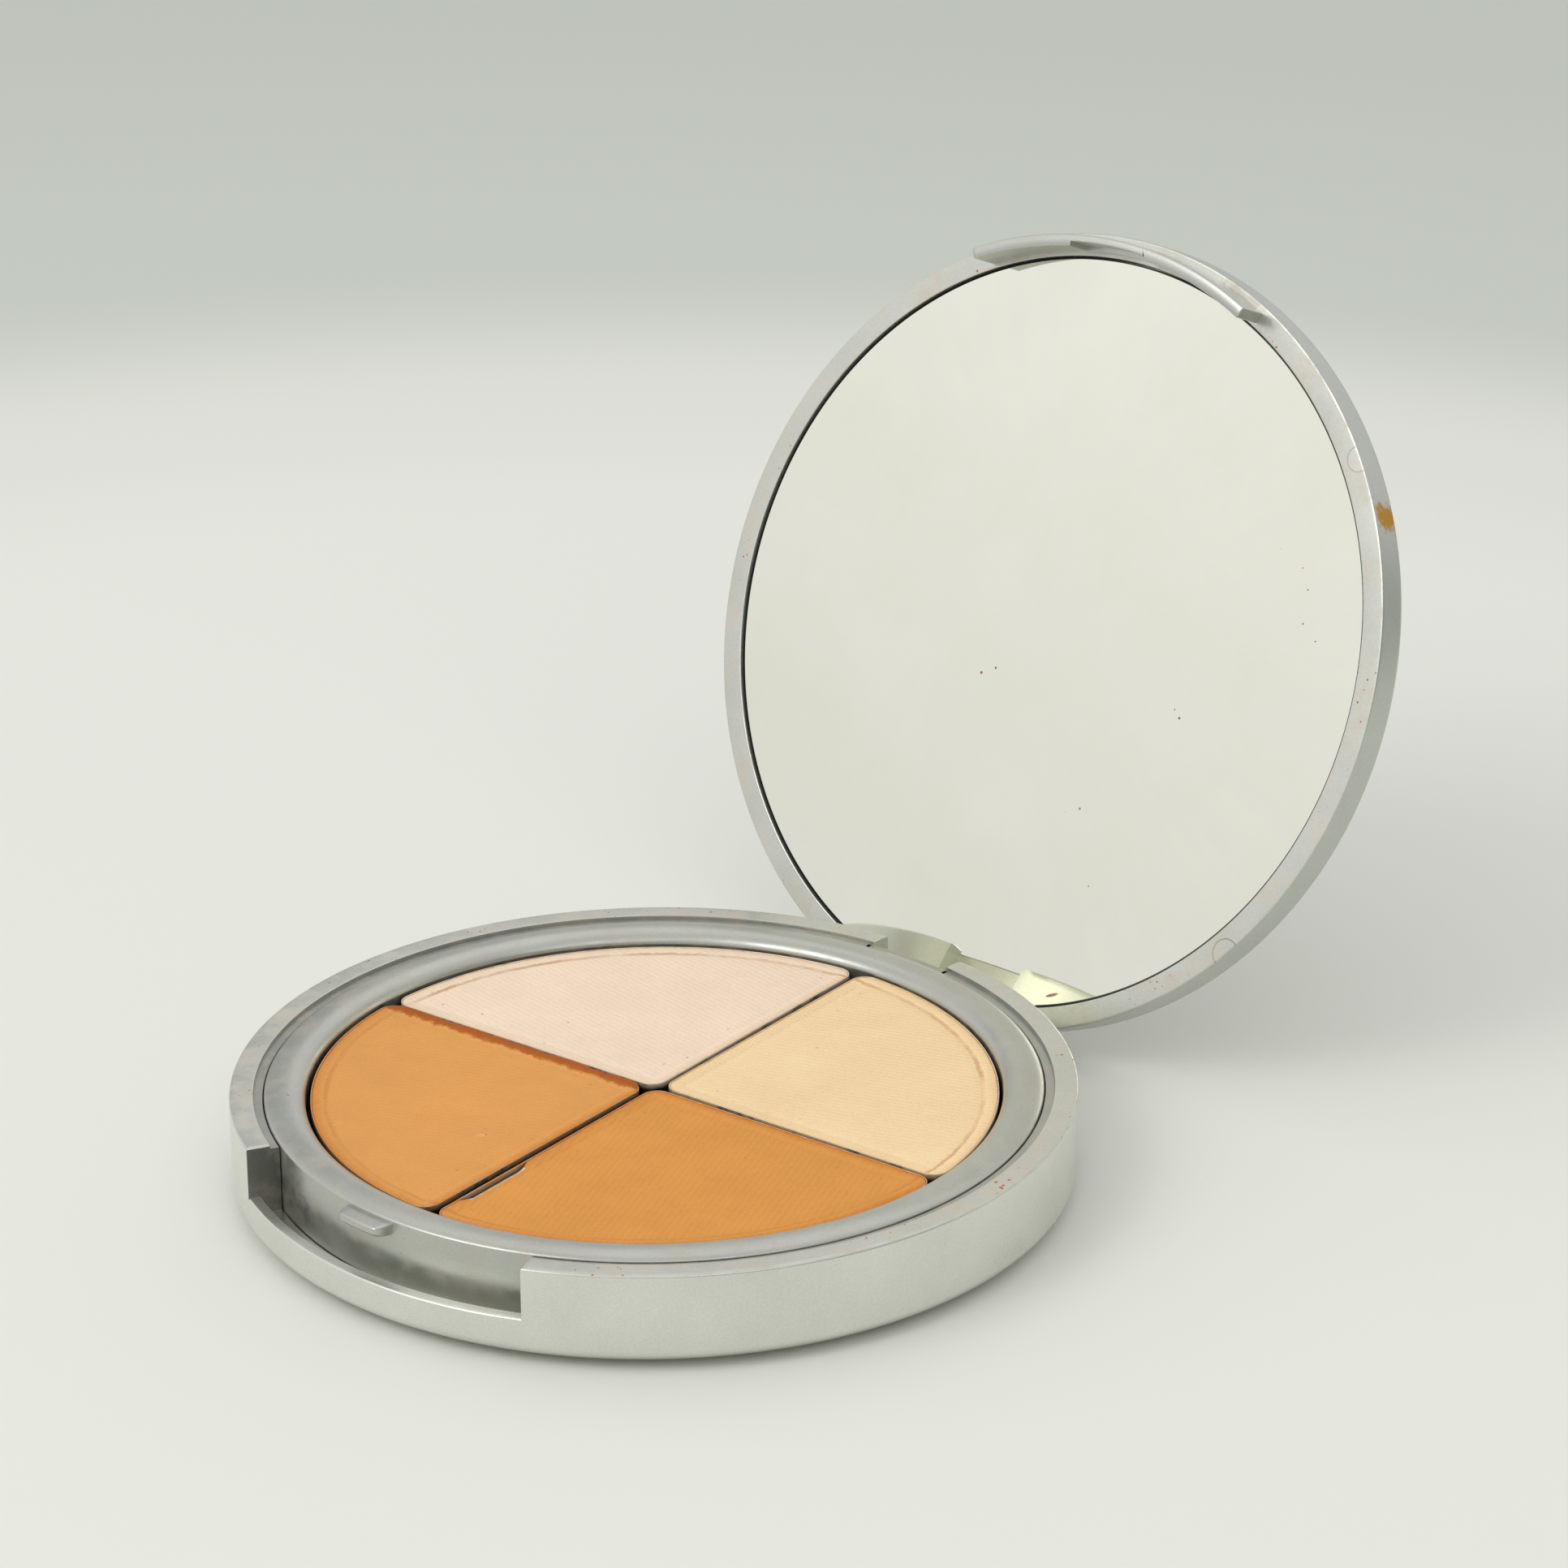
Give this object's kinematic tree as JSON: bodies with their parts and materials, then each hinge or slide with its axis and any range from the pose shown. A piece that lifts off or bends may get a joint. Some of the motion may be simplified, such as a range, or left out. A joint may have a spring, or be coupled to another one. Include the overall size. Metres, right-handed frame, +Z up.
{
  "type": "powder compact",
  "caption": "Round hinged face-powder compact in satin silver plastic, with quarter-round pressed powders in metal pans and a mirror in its tilting lid.",
  "frame": {"origin": "centre of the base's flat underside", "axes": "+Z up out of the base, +Y towards the hinge, -Y towards the thumb notch, +X along the hinge pin"},
  "size_m": [0.074, 0.1072, 0.0704],
  "materials": {
    "case": "satin silver lacquer on moulded plastic",
    "case_inner": "satin silver lacquer on moulded plastic",
    "glue": "matt adhesive",
    "pan": "bright pressed sheet",
    "powder_yellow": "matt pressed mineral powder",
    "powder_pink": "matt pressed mineral powder",
    "powder_tan": "matt pressed mineral powder",
    "powder_brown": "matt pressed mineral powder",
    "pin": "plain drawn wire",
    "foam": "matt foam tape",
    "mirror": "silvered glass"
  },
  "bodies": {
    "base": {"base_shell": "case", "inner_frame": "case_inner", "glue_yellow": "glue", "glue_pink": "glue", "glue_tan": "glue", "glue_brown": "glue", "pan_yellow": "pan", "pan_pink": "pan", "pan_tan": "pan", "pan_brown": "pan", "powder_yellow": "powder_yellow", "powder_pink": "powder_pink", "powder_tan": "powder_tan", "powder_brown": "powder_brown", "hinge_pin": "pin"},
    "lid": {"lid_shell": "case", "mirror_pad": "foam", "mirror_glass": "mirror"}
  },
  "joints": [
    {"name": "lid_hinge", "type": "hinge", "parent": "base", "child": "lid", "pos_m": [0, 0.03525, 0.0046], "axis": [1, 0, 0], "range_deg": [0, 112.5]}
  ]
}
